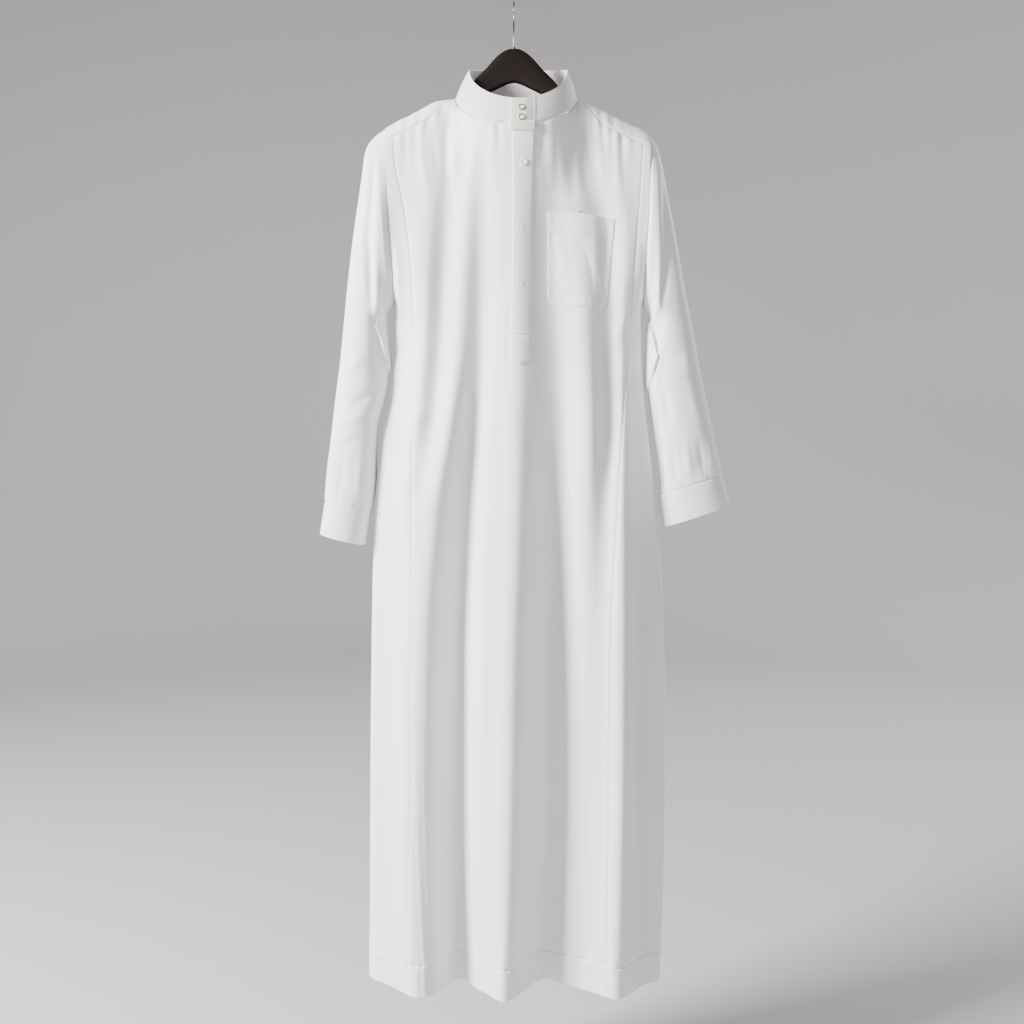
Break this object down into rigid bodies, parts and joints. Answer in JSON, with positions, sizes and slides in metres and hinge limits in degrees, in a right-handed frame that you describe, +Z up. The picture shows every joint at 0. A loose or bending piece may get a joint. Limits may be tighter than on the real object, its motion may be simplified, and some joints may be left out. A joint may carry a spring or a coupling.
{
  "type": "thobe robe on hanger",
  "caption": "White ankle-length thobe robe with stand collar, placket, chest pocket and cuffed long sleeves, hanging on a dark hanger with a wire hook.",
  "frame": {"origin": "inner top of the hook, where a rod bears", "axes": "+Z up, +X to the viewer's right of the front, +Y from the front to the back"},
  "size_m": [0.653, 0.1822, 1.5588],
  "materials": {
    "cloth": "matte",
    "stiff_cloth": "matte",
    "hanger": "satin",
    "hook": "polished",
    "snap": "satin",
    "button": "gloss"
  },
  "bodies": {
    "root": {"front_panel": "cloth", "back_panel": "cloth", "front_gore_left": "cloth", "front_gore_right": "cloth", "back_gore_left": "cloth", "back_gore_right": "cloth", "yoke": "cloth", "sleeve_left": "cloth", "sleeve_right": "cloth", "collar": "stiff_cloth", "cuff_left": "stiff_cloth", "cuff_right": "stiff_cloth", "placket": "cloth", "pocket": "cloth", "collar_tab": "stiff_cloth", "hanger": "hanger", "hook": "hook", "button": "button", "snap_upper": "snap", "snap_lower": "snap"}
  },
  "joints": []
}
